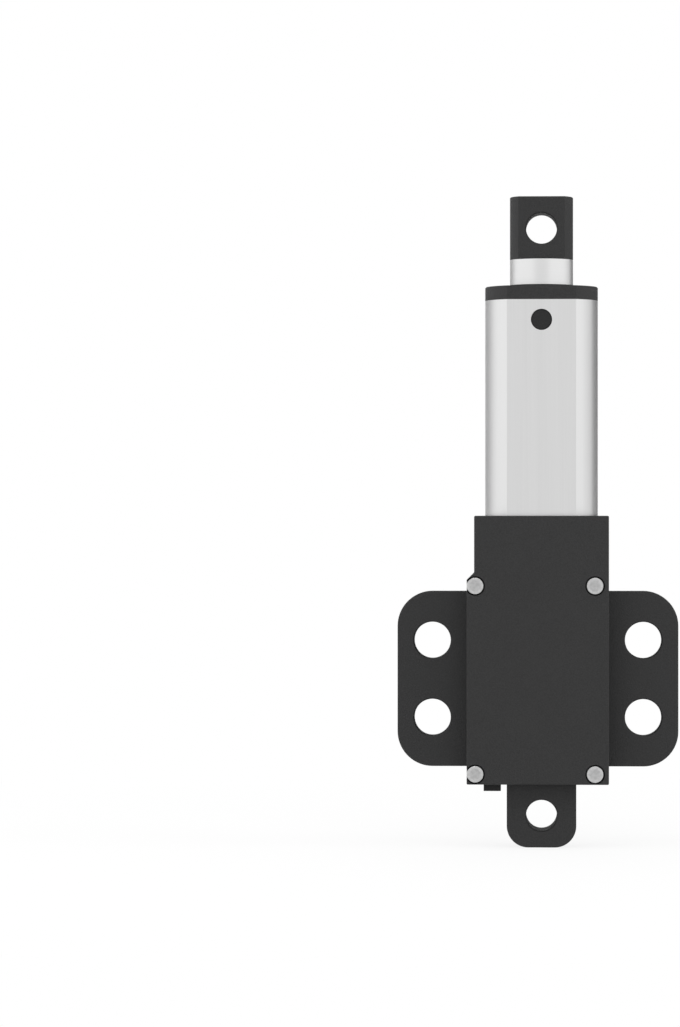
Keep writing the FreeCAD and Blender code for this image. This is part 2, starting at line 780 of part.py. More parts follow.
def make_lead_screw():
    """The thread's cylinder, the journal with its clip groove, and the nose that carries the output gear."""
    shoulder = face_level(3) + FACE_WIDTH
    journal = post(journal_r, shoulder, z_tube)
    groove = ring(journal_r + PAST, journal_r - CLIP_GROOVE, z_bearing - CLIP_THICKNESS, z_bearing)
    screw = journal.cut(groove).fuse(post(LEAD_SCREW_D / 2, z_tube, z_screw_end))
    return screw.fuse(post(NOSE_D / 2, face_level(3), shoulder))


def make_screw_clip():
    low = z_bearing - CLIP_THICKNESS
    clip = ring(journal_r + CLIP_WIDTH, journal_r - CLIP_GROOVE, low, z_bearing)
    return clip.cut(block(0, BEARING_D, -CLIP_MOUTH / 2, CLIP_MOUTH / 2, low - PAST, z_bearing + PAST))


def make_bearing_block():
    body = block(-case_x, board_in - BOARD_TO_BLOCK, -case_y, case_y, z_block, z_tube)
    body = body.cut(post(BEARING_D / 2, z_bearing, z_tube + PAST))
    return body.cut(hole(journal_r + CLIP_WIDTH + CLIP_ROOM, z_block, z_bearing))


def make_bearing():
    """Outer ring, inner ring, balls and cage."""
    pitch_r = (BEARING_D / 2 + journal_r) / 2
    middle = z_bearing + BEARING_WIDTH / 2
    groove = Part.makeTorus(pitch_r, BALL_D / 2 + SEAT, V(0, 0, middle))
    outer = ring(BEARING_D / 2, pitch_r + BEARING_LAND, z_bearing, z_tube).cut(groove)
    inner = ring(pitch_r - BEARING_LAND, journal_r, z_bearing, z_tube).cut(groove)
    half = CAGE_THICKNESS / 2
    cage = ring(pitch_r + half, pitch_r - half, middle - CAGE_WIDTH / 2, middle + CAGE_WIDTH / 2)
    balls = []
    for ball in range(BALLS):
        angle = 2 * math.pi * ball / BALLS
        outward = V(math.cos(angle), math.sin(angle), 0)
        spot = outward * pitch_r + V(0, 0, middle)
        balls.append(Part.makeSphere(BALL_D / 2, spot))
        cage = cage.cut(Part.makeCylinder(BALL_D / 2 + SEAT, BALL_D, spot - outward * BALL_D / 2, outward))
    return outer, inner, Part.makeCompound(balls), cage


# Tooth phases: each pinion has a tooth on the line of centres, each wheel a gap
to_a = math.radians(-30)
a_to_b = math.radians(90)
b_to_a = math.radians(-90)
a_to_axis = math.radians(150)
gap = math.pi + math.pi / GEAR_TEETH

cover, rear = make_housing()
outer_ring, inner_ring, balls, cage = make_bearing()
pinion_low = face_level(0)
motor_pinion = gear(PINION_TEETH, PROFILE_SHIFT, to_a, 0, 0, pinion_low, pinion_low + FACE_WIDTH)
output_gear = wheel(a_to_axis + gap, 0, 0, 3)

pieces = {
    "front_cover": cover,
    "rear_housing": rear,
    "housing_screws": make_housing_screws(),
    "tail_eye": make_tail_eye(),
    "lead_grommet": make_grommet(),
    "supply_leads": make_supply_leads(),
    "link_lead": make_link_lead(),
    "tube": make_tube(),
    "end_cap": make_end_cap(),
    "cap_pin": make_cap_pin(),
    "rod_wiper": make_rod_wiper(),
    "rod": make_rod(),
    "rod_end": make_rod_end(),
    "drive_nut": make_nut(),
    "wiper_brush": make_wiper_brush(),
    "limit_board": make_limit_board(),
    "limit_tracks": make_limit_tracks(),
    "motor_can": make_motor_can(),
    "motor_end_cap": make_motor_end_cap(),
    "motor_terminals": make_terminals(),
    "motor_brushes": make_brushes(),
    "motor_bushes": make_motor_bushes(),
    "motor_magnets": make_magnets(),
    "rotor_shaft": make_rotor_shaft(),
    "armature_core": make_core(),
    "armature_windings": make_windings(),
    "commutator": make_commutator(),
    "motor_pinion": motor_pinion.cut(post(shaft_r, z_can, z_roof)),
    "motor_plate": make_motor_plate(),
    "output_plate": make_output_plate(),
    "output_bush": make_output_bush(),
    "gear_posts": make_gear_posts(),
    "gear_arbors": make_arbors(),
    "first_gear": compound(arbor_x, -arbor_y, 0, to_a + gap, a_to_b),
    "second_gear": compound(arbor_x, arbor_y, 1, a_to_b + gap, b_to_a),
    "third_gear": compound(arbor_x, -arbor_y, 2, b_to_a + gap, a_to_axis),
    "output_gear": output_gear.cut(post(NOSE_D / 2, z_gears, z_block)),
    "lead_screw": make_lead_screw(),
    "screw_clip": make_screw_clip(),
    "bearing_block": make_bearing_block(),
    "bearing_outer_ring": outer_ring,
    "bearing_inner_ring": inner_ring,
    "bearing_balls": balls,
    "ball_cage": cage,
}

os.makedirs("parts", exist_ok=True)
for name, shape in pieces.items():
    shape.exportStep("parts/" + name + ".step")
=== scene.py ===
import json
import math

import bmesh
import bpy
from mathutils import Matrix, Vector


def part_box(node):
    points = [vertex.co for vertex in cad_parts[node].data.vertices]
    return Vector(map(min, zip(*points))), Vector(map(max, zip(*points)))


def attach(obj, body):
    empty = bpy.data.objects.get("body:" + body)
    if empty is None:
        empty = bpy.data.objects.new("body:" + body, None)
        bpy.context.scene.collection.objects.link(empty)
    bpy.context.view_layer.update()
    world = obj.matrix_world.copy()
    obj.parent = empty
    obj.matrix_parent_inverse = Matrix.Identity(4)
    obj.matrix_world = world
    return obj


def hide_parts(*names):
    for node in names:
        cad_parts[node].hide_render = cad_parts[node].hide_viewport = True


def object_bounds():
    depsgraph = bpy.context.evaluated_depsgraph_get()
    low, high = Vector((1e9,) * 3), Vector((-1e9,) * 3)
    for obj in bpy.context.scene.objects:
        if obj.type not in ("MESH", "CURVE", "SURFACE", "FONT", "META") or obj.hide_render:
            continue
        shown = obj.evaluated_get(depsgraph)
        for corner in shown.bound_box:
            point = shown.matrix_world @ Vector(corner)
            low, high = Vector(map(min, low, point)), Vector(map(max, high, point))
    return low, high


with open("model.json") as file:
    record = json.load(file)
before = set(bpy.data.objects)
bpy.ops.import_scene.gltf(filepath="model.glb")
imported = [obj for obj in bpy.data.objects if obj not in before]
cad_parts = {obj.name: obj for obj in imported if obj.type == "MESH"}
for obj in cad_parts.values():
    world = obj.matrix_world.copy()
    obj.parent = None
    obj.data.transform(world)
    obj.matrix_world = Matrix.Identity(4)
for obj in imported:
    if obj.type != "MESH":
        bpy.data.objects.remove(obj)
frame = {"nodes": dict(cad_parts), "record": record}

bl_info = {
    "name": "Linear Actuator Dresser",
    "version": (1, 0, 0),
    "blender": (4, 5, 0),
    "location": "View3D > Sidebar > Actuator",
    "description": "Finishes, turned parts, motor coils and the studio for a small linear actuator",
    "category": "Object",
}

CAD_BOX = [list(corner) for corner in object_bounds()]
MM = 0.001

# Pieces of the frame that share a finish. The others are dressed one by one or made new further down.
MOULDED = ("front_cover", "rear_housing", "tail_eye", "end_cap", "rod_end")
RUBBER = ("lead_grommet", "rod_wiper")
SLEEVED = ("supply_leads", "link_lead")
ACETAL = ("drive_nut", "motor_end_cap", "ball_cage")
BRASS = (
    "wiper_brush", "motor_terminals", "motor_brushes", "motor_plate", "output_plate", "output_bush",
    "motor_pinion", "first_gear", "second_gear", "third_gear", "output_gear", "motor_bushes",
)
STEEL = (
    "motor_can", "rotor_shaft", "armature_core", "gear_posts", "gear_arbors", "screw_clip",
    "bearing_outer_ring", "bearing_inner_ring",
)

# A surface this close to a hole's axis, past the hole's radius, still counts as its wall.
DRILL_MARGIN = 0.03 * MM

# Edges that turn by more than this stay sharp.
SHARP = math.radians(38.0)

# How finely round shapes are drawn.
SCREW_SIDES = 50
SPINDLE_SIDES = 56
COMMUTATOR_SIDES = 120
RIM_STEPS = 5
BALL_SEGMENTS = 32
BALL_RINGS = 16
WIRE_SIDES = 10
LOOP_CORNER_STEPS = 5

# A thread's rows in one pitch, and the share of the pitch that its crest takes, and its root as well.
SCREW_ROWS = 10
SCREW_FLATS = 0.2
SPINDLE_ROWS = 16
SPINDLE_FLATS = 0.375

# What a thread is cut by: the bar's radius, the groove's depth, the pitch, the heights it runs
# between, the crest's and the root's share of the pitch, and how far apart the bar's rows are.
THREAD_SIZES = {
    "Crest Radius": "Float", "Thread Depth": "Float", "Pitch": "Float", "Start": "Float",
    "End": "Float", "Crest Share": "Float", "Root Share": "Float", "Row Step": "Float",
}

# The last whole row of a bar stays this many steps or more from the bar's end.
END_ROW_ROOM = 0.75

# The dish in a screw's head, from the middle out: shares of the head's radius and the dish's depth.
HEAD_DISH = ((0.0, 1.0), (0.45, 0.8), (0.72, 0.0))

# From where to where a painted highlight lightens a screw's face towards its rim, measured from the
# axis.
PAINTED_RIM_HIGHLIGHT_FROM = 0.62 * MM
PAINTED_RIM_HIGHLIGHT_TO = 0.84 * MM

# The bend in a coil's loops, as a share of half a loop's width and height, and how far the middle of
# the wire is off the core's ends in the low loops, in wire diameters.
LOOP_BEND = 0.13
LOOP_STAND_OFF = 0.6

# The width of the camera's sensor, in millimetres.
SENSOR_WIDTH = 36.0

# The floor, a little under the object. To the camera it glows white, but less so close to the object,
# where the shadow shows. From the first distance to the second the glow rises to its full strength.
FLOOR_GAP = 0.05 * MM
FLOOR_REACH = 3.0
FLOOR_GREY = 0.9
GLOW_BY_OBJECT = 0.84
GLOW_RISES_FROM = 0.03
GLOW_RISES_TO = 0.16

# The point that all lamps aim at.
LAMP_AIM = Vector((0.0, 0.0, 0.04))

# Each lamp's name, place, size, studio setting and share of that setting's power, and whether bright
# metal mirrors it. The lamps that it doesn't mirror only brighten dull surfaces.
LAMPS = (
    ("left_panel", (-0.56, -0.22, 0.06), (1.14, 0.8), "panel", 1.0, True),
    ("right_panel", (0.53, -0.28, 0.06), (0.92, 0.8), "panel", 0.8, True),
    ("high_lamp", (0.0, -0.6, 0.72), (0.7, 0.5), "high", 1.0, True),
    ("low_lamp", (0.0, -0.9, 0.12), (0.7, 0.22), "low", 1.0, False),
    ("back_lamp", (0.0, 0.9, 0.25), (0.7, 0.5), "back", 1.0, False),
    ("left_lamp", (-0.58, -0.155, 0.06), (0.3, 0.7), "side", 1.0, False),
    ("right_lamp", (0.58, -0.155, 0.06), (0.3, 0.7), "side", 1.0, False),
)

# The cards behind the object: how far to the side each one starts and how grey it is. Both run inwards
# and back from there.
CARDS = (("left_card", -0.35, 0.465), ("right_card", 0.35, 0.225))
CARD_INNER_SHARE = 0.45
CARD_NEAR = 0.25
CARD_FAR = 0.6
CARD_LOW = -0.3
CARD_HIGH = 0.5


class Wire:
    """A socket in a node tree. Sums and products of wires add Math nodes to the tree."""

    def __init__(self, tree, socket):
        self.tree = tree
        self.socket = socket

    def _maths(self, operation, first, second):
        return Bench(self.tree).maths(operation, first, second)

    def __add__(self, other):
        return self._maths("ADD", self, other)

    def __radd__(self, other):
        return self._maths("ADD", other, self)

    def __sub__(self, other):
        return self._maths("SUBTRACT", self, other)

    def __rsub__(self, other):
        return self._maths("SUBTRACT", other, self)

    def __mul__(self, other):
        return self._maths("MULTIPLY", self, other)

    def __rmul__(self, other):
        return self._maths("MULTIPLY", other, self)

    def __truediv__(self, other):
        return self._maths("DIVIDE", self, other)

    def __rtruediv__(self, other):
        return self._maths("DIVIDE", other, self)

    def __pow__(self, other):
        return self._maths("POWER", self, other)


class Bench:
    """Builds one node tree, for a finish or for a shape."""

    def __init__(self, tree):
        self.tree = tree

    def add(self, kind, settings=None, sockets=None, output=0):
        """Add a node, its settings first and then its sockets, and hand back one output or several."""
        node = self.tree.nodes.new(kind)
        for key, value in (settings or {}).items():
            setattr(node, key, value)
        for key, value in (sockets or {}).items():
            self.feed(node.inputs[key], value)
        if isinstance(output, tuple):
            return [Wire(self.tree, node.outputs[each]) for each in output]
        return Wire(self.tree, node.outputs[output])

    def feed(self, socket, value):
        """Link a wire to a socket, or set the socket's own value."""
        if isinstance(value, Wire):
            self.tree.links.new(value.socket, socket)
        else:
            socket.default_value = value

    def maths(self, operation, *values):
        return self.add("ShaderNodeMath", {"operation": operation}, dict(enumerate(values)))

    def clamp(self, value):
        """The value, kept between 0 and 1."""
        return self.add("ShaderNodeClamp", None, {0: value})

    def ease(self, value, start, end, most=1.0):
        """Runs smoothly from 0 to the most while the value goes from start to end."""
        return self.add("ShaderNodeMapRange", {"interpolation_type": "SMOOTHSTEP"}, {
            "Value": value, "From Min": start, "From Max": end, "To Min": 0.0, "To Max": most,
        })

    def place(self):
        """Where a point lies on the object."""
        return self.add("ShaderNodeTexCoord", output="Object")

    def noise(self, scale, detail=2.0, stretch=None):
        """Cloudy noise, its grain about one over the scale in metres, drawn out by the stretch."""
        where = self.place()
        if stretch:
            where = self.add("ShaderNodeMapping", None, {"Vector": where, "Scale": stretch})
        sockets = {"Vector": where, "Scale": scale, "Detail": detail}
        return self.add("ShaderNodeTexNoise", None, sockets)

    def mottle(self, scale, detail=2.0, low=0.3, high=0.7):
        """Noise drawn out to its full range, so that light and dark specks stand apart."""
        return self.ease(self.noise(scale, detail), low, high)

    def tones(self, factor, colour, dark, light):
        """A colour that runs from a darker to a lighter tone of itself."""
        sockets = {0: factor, 6: (*shade(colour, dark), 1.0), 7: (*shade(colour, light), 1.0)}
        return self.add("ShaderNodeMix", {"data_type": "RGBA"}, sockets, output=2)

    def relief(self, height, depth, strength=1.0):
        """Bumps of a given depth in metres."""
        sockets = {"Height": height, "Distance": depth, "Strength": strength}
        return self.add("ShaderNodeBump", None, sockets)

    def spot(self):
        """The X, Y and Z of a shape's points."""
        position = self.add("GeometryNodeInputPosition")
        return self.add("ShaderNodeSeparateXYZ", None, {0: position}, ("X", "Y", "Z"))

    def move(self, shape, x, y, z):
        """The shape with its points at a new place."""
        position = self.add("ShaderNodeCombineXYZ", None, {"X": x, "Y": y, "Z": z})
        return self.add("GeometryNodeSetPosition", None, {"Geometry": shape, "Position": position})

    def hand_out(self, shape, finish, made):
        """End a tree: make instances real, set the finish and put the shape out under its name."""
        real = self.add("GeometryNodeRealizeInstances", None, {"Geometry": shape})
        done = self.add("GeometryNodeSetMaterial", None, {"Geometry": real, "Material": finish})
        self.add("NodeGroupOutput", None, {made: done}, ())


def shade(colour, amount):
    return tuple(channel * amount for channel in colour)


def new_finish(name):
    """An empty material with its shader, and the bench to build on."""
    material = bpy.data.materials.new(name)
    material.use_nodes = True
    bench = Bench(material.node_tree)
    return material, bench, material.node_tree.nodes["Principled BSDF"]


def set_shader(bench, shader, **sockets):
    """Give the shader wires and plain numbers, by socket name with _ for a space."""
    for key, value in sockets.items():
        bench.feed(shader.inputs[key.replace("_", " ")], value)


def cross_holes():
    """Place and radius of each bore and bolt hole that goes through the part along Y."""
    holes = []
    for mount in frame["record"]["mounts"]:
        x, _, z = mount["pos_m"]
        sizes = mount["dims"]
        if mount["kind"] == "bore":
            holes.append((x, z, sizes["r_mm"] * MM))
        if mount["kind"] == "bolt_pattern":
            for across in (-0.5, 0.5):
                for up in (-0.5, 0.5):
                    hole_x = x + across * sizes["spacing_x_mm"] * MM
                    hole_z = z + up * sizes["spacing_y_mm"] * MM
                    holes.append((hole_x, hole_z, sizes["hole_r_mm"] * MM))
    return holes


def hole_walls(bench, holes):
    """1 on the walls of the holes, 0 elsewhere."""
    x, z = bench.add("ShaderNodeSeparateXYZ", None, {0: bench.place()}, ("X", "Z"))
    drilled = 0.0
    for hole_x, hole_z, radius in holes:
        off_axis = (x - hole_x) * (x - hole_x) + (z - hole_z) * (z - hole_z)
        drilled = drilled + bench.maths("LESS_THAN", off_axis, (radius + DRILL_MARGIN) ** 2)
    return drilled


def moulded_plastic(name, colour, holes=()):
    """Black nylon from a spark-eroded mould: fine dull grain with painted shade in its pits, faint flow
    clouds, duller in holes.
    """
    material, bench, shader = new_finish(name)
    cloud = bench.noise(scale=160.0, detail=3.0)
    grain_and_pit_shade = bench.mottle(scale=6000.0)
    drilled = hole_walls(bench, holes) if holes else 0.0
    set_shader(
        bench, shader,
        # Painted shade and light: the grain's pits are painted darker and its crests lighter; the
        # clouds are random tone.
        Base_Color=bench.tones(0.3 * cloud + 0.7 * grain_and_pit_shade, colour, dark=0.6, light=1.4),
        Roughness=0.4 + 0.1 * cloud + 0.14 * grain_and_pit_shade + 0.18 * drilled,
        Normal=bench.relief(grain_and_pit_shade, depth=0.02 * MM, strength=0.7),
        IOR=1.45,
        Specular_IOR_Level=0.36,
    )
    return material


def extruded_aluminium(name, colour):
    """Satin anodised extrusion: fine die lines run along the tube."""
    material, bench, shader = new_finish(name)
    lines = bench.noise(scale=6500.0, stretch=(1.0, 1.0, 0.008))
    streaks = bench.noise(scale=900.0, stretch=(1.0, 1.0, 0.03))
    set_shader(
        bench, shader,
        Base_Color=bench.tones(0.6 * lines + 0.4 * streaks, colour, dark=0.95, light=1.05),
        Roughness=0.27 + 0.08 * lines + 0.04 * streaks,
        Normal=bench.relief(lines, depth=0.004 * MM, strength=0.5),
        Metallic=1.0,
    )
    return material


def turned_steel(name, colour):
    """Plain faced screw heads with a painted rim highlight. The turn attribute is the distance from the
    axis.
    """
    material, bench, shader = new_finish(name)
    turn = bench.add("ShaderNodeAttribute", {"attribute_name": "turn"}, output="Fac")
    marks = bench.add("ShaderNodeTexNoise", {"noise_dimensions": "1D"}, {
        "W": turn, "Scale": 14000.0, "Detail": 2.0,
    })
    stain = bench.mottle(scale=2800.0, detail=3.0)
    # Painted highlight: the face's colour turns lighter towards the rim, where light would catch the
    # head.
    painted_rim_highlight = bench.ease(turn, PAINTED_RIM_HIGHLIGHT_FROM, PAINTED_RIM_HIGHLIGHT_TO, most=0.5)
    set_shader(
        bench, shader,
        Base_Color=bench.tones(0.5 * stain + painted_rim_highlight, colour, dark=0.87, light=1.2),
        Roughness=0.26 + 0.14 * marks + 0.06 * stain,
        Normal=bench.relief(marks, depth=0.006 * MM, strength=0.6),
        Metallic=1.0,
    )
    return material


def machined_steel(name, colour):
    """Turned and pressed steel parts with rings from the tool."""
    material, bench, shader = new_finish(name)
    rings = bench.noise(scale=5000.0, stretch=(0.05, 0.05, 1.0))
    stain = bench.noise(scale=500.0, detail=3.0)
    set_shader(
        bench, shader,
        Base_Color=bench.tones(stain, colour, dark=0.85, light=1.1),
        Roughness=0.28 + 0.12 * rings + 0.08 * stain,
        Normal=bench.relief(rings, depth=0.004 * MM, strength=0.5),
        Metallic=1.0,
    )
    return material


def soft_rubber(name, colour):
    """Dull rubber with a faint bloom."""
    material, bench, shader = new_finish(name)
    bloom = bench.noise(scale=420.0, detail=4.0)
    skin = bench.noise(scale=5200.0)
    set_shader(
        bench, shader,
        Base_Color=bench.tones(bloom, colour, dark=0.8, light=1.3),
        Roughness=0.66 + 0.12 * bloom,
        Normal=bench.relief(skin, depth=0.01 * MM, strength=0.5),
        Specular_IOR_Level=0.15,
    )
    return material


def stamped_metal(name, colour, dark):
    """Brass or copper, a little tarnished, with fine scratches across it."""
    material, bench, shader = new_finish(name)
    tarnish = bench.noise(scale=700.0, detail=4.0)
    scratch = bench.noise(scale=6000.0, stretch=(0.06, 1.0, 1.0))
    set_shader(
        bench, shader,
        Base_Color=bench.tones(tarnish, colour, dark, light=1.0),
        Roughness=0.24 + 0.14 * tarnish + 0.06 * scratch,
        Normal=bench.relief(scratch, depth=0.003 * MM, strength=0.5),
        Metallic=1.0,
    )
    return material


def board_laminate(name, colour):
    """Glass laminate: the weave shows through the green varnish."""
    material, bench, shader = new_finish(name)
    threads = {"Vector": bench.place(), "Scale": 1200.0, "Distortion": 0.6}
    along = bench.add("ShaderNodeTexWave", {"bands_direction": "Z"}, threads)
    across = bench.add("ShaderNodeTexWave", {"bands_direction": "Y"}, threads)
    weave = along * across
    set_shader(
        bench, shader,
        Base_Color=bench.tones(weave, colour, dark=0.8, light=1.25),
        Roughness=0.3 + 0.12 * weave,
        Normal=bench.relief(weave, depth=0.01 * MM, strength=0.4),
    )
    return material


def clouded(name, colour, scale, detail, tones, roughness, bumps, stretch=None, **fixed):
    """A finish that one noise drives: its tones, its roughness from least to most, and fine bumps."""
    material, bench, shader = new_finish(name)
    cloud = bench.noise(scale, detail, stretch)
    least, most = roughness
    set_shader(
        bench, shader,
        Base_Color=bench.tones(cloud, colour, *tones),
        Roughness=least + (most - least) * cloud,
        Normal=bench.relief(cloud, *bumps),
        **fixed,
    )
    return material


def ground_steel(name, colour):
    """Polished steel: rings left by the grinding wheel, hardly to be felt."""
    return clouded(
        name, colour, scale=9000.0, detail=2.0, tones=(0.97, 1.03), roughness=(0.32, 0.38),
        bumps=(0.002 * MM, 0.4), stretch=(0.02, 0.02, 1.0), Metallic=1.0,
    )


def lead_sleeve(name, colour):
    """Drawn plastic sleeve on the leads, slightly glossy."""
    return clouded(
        name, colour, scale=900.0, detail=3.0, tones=(0.85, 1.15), roughness=(0.36, 0.48),
        bumps=(0.006 * MM, 0.5),
    )


def natural_acetal(name, colour):
    """Milky moulded plastic, a little darker where it flowed together."""
    return clouded(
        name, colour, scale=260.0, detail=3.0, tones=(0.92, 1.02), roughness=(0.34, 0.44),
        bumps=(0.01 * MM, 0.3),
    )


def enamelled_wire(name, colour):
    """Copper wire under clear enamel, darker where the enamel runs thick."""
    return clouded(
        name, colour, scale=1400.0, detail=3.0, tones=(0.65, 1.0), roughness=(0.22, 0.34),
        bumps=(0.004 * MM, 0.5), Metallic=1.0, Coat_Weight=0.6,
    )


def grey_ferrite(name, colour):
    """Pressed and fired magnet, dull and speckled."""
    return clouded(
        name, colour, scale=4200.0, detail=4.0, tones=(0.7, 1.4), roughness=(0.55, 0.75),
        bumps=(0.02 * MM, 0.6),
    )


def cast_zinc(name, colour):
    """Die-cast block with a cloudy skin."""
    return clouded(
        name, colour, scale=900.0, detail=5.0, tones=(0.8, 1.1), roughness=(0.38, 0.58),
        bumps=(0.02 * MM, 0.5), Metallic=1.0,
    )


def dull_paper(name, grey):
    """Paper for the studio's floor and cards."""
    material, bench, shader = new_finish(name)
    set_shader(bench, shader, Base_Color=(grey, grey, grey, 1.0), Roughness=1.0, Specular_IOR_Level=0.0)
    return material, bench, shader


def dress(names, material):
    """Give CAD pieces a finish."""
    for name in names:
        for slot in frame["nodes"][name].material_slots:
            slot.material = material


def add_object(name, data):
    thing = bpy.data.objects.new(name, data)
    bpy.context.scene.collection.objects.link(thing)
    return thing


def new_tree(name, given, made):
    """An empty shape tree with named inputs, the bench to build on, and the inputs' wires."""
    tree = bpy.data.node_groups.new(name, "GeometryNodeTree")
    for label, kind in given.items():
        tree.interface.new_socket(label, in_out="INPUT", socket_type="NodeSocket" + kind)
    tree.interface.new_socket(made, in_out="OUTPUT", socket_type="NodeSocketGeometry")
    bench = Bench(tree)
    wires = bench.add("NodeGroupInput", output=tuple(given))
    return tree, bench, dict(zip(given, wires))


def run_tree(thing, tree, values):
    """Run a tree on an object with inputs by name, and keep the result as the object's plain mesh."""
    modifier = thing.modifiers.new(tree.name, "NODES")
    modifier.node_group = tree
    for item in tree.interface.items_tree:
        if item.in_out == "INPUT" and item.name in values:
            modifier[item.identifier] = values[item.name]
    done = thing.evaluated_get(bpy.context.evaluated_depsgraph_get())
    mesh = bpy.data.meshes.new_from_object(done)
    mesh.name = thing.name
    # Real instances bring an empty material slot with them, in front of the finish.
    if mesh.materials[0] is None:
        mesh.materials.pop(index=0)
    mesh.set_sharp_from_angle(angle=SHARP)
    thing.modifiers.remove(modifier)
    thing.data = mesh


def thread_tree():
    """Cut a thread into a turned bar along Z, from one height to another, running out at both.

    A whole number of the bar's rows makes one pitch. Each row slips along Z to the nearest line of the
    helix, by half a step at most, so that crest and root have clean edges.
    """
    tree, bench, given = new_tree("cut_thread", {"Bar": "Geometry", **THREAD_SIZES}, "Threaded Bar")
    pitch, start, end, step = (given[label] for label in ("Pitch", "Start", "End", "Row Step"))
    x, y, z = bench.spot()
    turn = bench.maths("ARCTAN2", y, x) / math.tau
    on_bar = bench.maths("GREATER_THAN", bench.maths("MINIMUM", z - start, end - z), step / 2.0)
    rows = turn * pitch / step
    height = z + on_bar * (rows - bench.maths("ROUND", rows)) * step
    along = bench.maths("FRACT", (height - start) / pitch - turn)
    off_crest = bench.maths("ABSOLUTE", along - 0.5) * 2.0
    flank = 1.0 - given["Crest Share"] - given["Root Share"]
    groove = bench.clamp((off_crest - given["Crest Share"]) / flank)
    run_out = bench.clamp(bench.maths("MINIMUM", height - start, end - height) / pitch)
    shrink = 1.0 - given["Thread Depth"] * groove * run_out / given["Crest Radius"]
    cut = bench.move(given["Bar"], x * shrink, y * shrink, height)
    split = bench.add("GeometryNodeTriangulate", {"quad_method": "SHORTEST_DIAGONAL"}, {0: cut})
    bench.add("NodeGroupOutput", None, {"Threaded Bar": split}, ())
    return tree


def cut_thread(bench, bar, given):
    """The bar with the thread that the given wires describe."""
    tree = bpy.data.node_groups.get("cut_thread") or thread_tree()
    sockets = {label: given[label] for label in THREAD_SIZES}
    return bench.add("GeometryNodeGroup", {"node_tree": tree}, {"Bar": bar, **sockets})


def turned_piece(name, profile, sides, hollow=False):
    """A new object turned about Z from radii and heights: a bar with closed ends, or a hollow ring."""
    shape = bmesh.new()
    rings = []
    for radius, height in profile:
        if radius == 0.0:
            rings.append([shape.verts.new((0.0, 0.0, height))])
            continue
        ring = []
        for step in range(sides):
            angle = math.tau * step / sides
            ring.append(shape.verts.new((radius * math.cos(angle), radius * math.sin(angle), height)))
        rings.append(ring)
    if hollow:
        rings.append(rings[0])
    for low, high in zip(rings, rings[1:]):
        for step in range(sides):
            after = (step + 1) % sides
            corners = [
                low[step % len(low)], low[after % len(low)],
                high[after % len(high)], high[step % len(high)],
            ]
            shape.faces.new(list(dict.fromkeys(corners)))
    bmesh.ops.recalc_face_normals(shape, faces=shape.faces)
    mesh = bpy.data.meshes.new(name)
    shape.to_mesh(mesh)
    shape.free()
    mesh.shade_smooth()
    return add_object(name, mesh)


def rounded_rim(radius, bend):
    """A quarter round in a turned profile, from the face at height 0 to the side."""
    points = []
    for step in range(RIM_STEPS + 1):
        angle = math.pi / 2 * step / RIM_STEPS
        points.append((radius - bend + bend * math.sin(angle), bend - bend * math.cos(angle)))
    return points


def bar_rows(radius, start, end, step):
    """A plain bar in a turned profile, with a row at every step for a thread to be cut into it."""
    whole_rows = math.floor((end - start) / step - END_ROW_ROOM)
    return [(radius, start + step * row) for row in range(whole_rows + 1)] + [(radius, end)]


def length(name, description, default):
    return bpy.props.FloatProperty(
        name=name, description=description, default=default,
        subtype="DISTANCE", unit="LENGTH", precision=5,
    )


def count(name, description, default, least):
    return bpy.props.IntProperty(name=name, description=description, default=default, min=least)


def tint(name, description, default):
    return bpy.props.FloatVectorProperty(
        name=name, description=description, default=default,
        size=3, min=0.0, max=1.0, subtype="COLOR",
    )


def power(name, description, default):
    return bpy.props.FloatProperty(name=name, description=description, default=default, unit="POWER")


class ActuatorColours(bpy.types.PropertyGroup):
    plastic: tint("Plastic", "Moulded housing, cap and eyes", (0.0136, 0.0136, 0.0138))
    pin: tint("Pin", "Pin that holds the end cap", (0.0062, 0.0062, 0.0064))
    aluminium: tint("Aluminium", "Satin anodised tube", (0.665, 0.665, 0.665))
    rod: tint("Rod", "Ground and polished rod", (0.68, 0.68, 0.68))
    screw: tint("Screws", "Plain housing screws", (0.468, 0.468, 0.468))
    steel: tint("Steel", "Turned and pressed steel inside", (0.5, 0.5, 0.49))
    rubber: tint("Rubber", "Grommet and rod wiper", (0.017, 0.017, 0.017))
    sleeve: tint("Leads", "Sleeve on the leads", (0.02, 0.018, 0.018))
    acetal: tint("Acetal", "Nut, motor cap and ball cage", (0.72, 0.7, 0.64))
    brass: tint("Brass", "Gears, plates and springs", (0.68, 0.47, 0.19))
    copper: tint("Copper", "Tracks, windings and commutator", (0.72, 0.33, 0.19))
    laminate: tint("Board", "Limit board", (0.03, 0.12, 0.06))
    ferrite: tint("Ferrite", "Motor magnets", (0.055, 0.055, 0.06))
    zinc: tint("Zinc", "Bearing block", (0.42, 0.43, 0.45))


